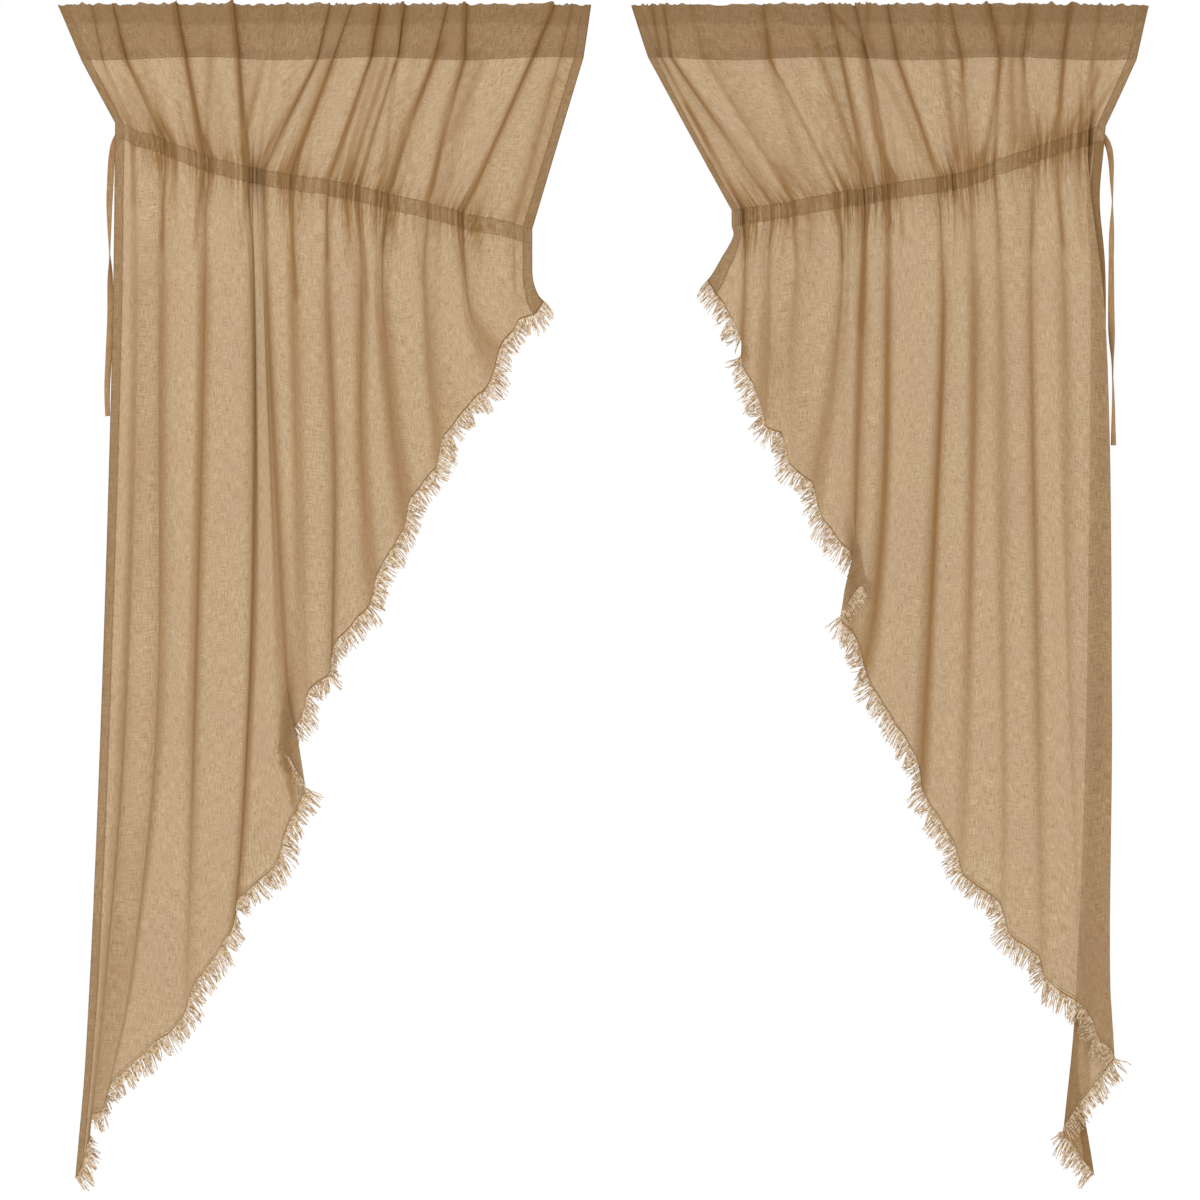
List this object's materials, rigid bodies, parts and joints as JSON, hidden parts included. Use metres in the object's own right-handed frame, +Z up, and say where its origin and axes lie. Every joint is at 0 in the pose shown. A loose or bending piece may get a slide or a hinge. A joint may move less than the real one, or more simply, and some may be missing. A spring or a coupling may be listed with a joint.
{
  "type": "pair of tie-gathered rod-pocket curtain panels with flat rods",
  "caption": "Short sheer cotton curtain panels gathered by a diagonal drawstring casing, slanting to a fringed lower edge, each on a plain flat rod",
  "frame": {"origin": "on the centre line of the two flat rods, halfway between the two panels", "axes": "+X runs across the window from the left panel to the right one, +Y goes from the cloth's front towards the window, and +Z is up"},
  "size_m": [1.451, 0.0282, 1.5755],
  "materials": {
    "cloth": "sheer plain-weave cotton, dyed tan",
    "trim": "doubled plain-weave cotton, dyed tan",
    "rod": "smooth dark brown enamel"
  },
  "bodies": {
    "root": {"left_panel": "cloth", "left_casing": "trim", "left_fringe": "cloth", "left_tie": "trim", "left_rod": "rod", "right_panel": "cloth", "right_casing": "trim", "right_fringe": "cloth", "right_tie": "trim", "right_rod": "rod"}
  },
  "joints": []
}
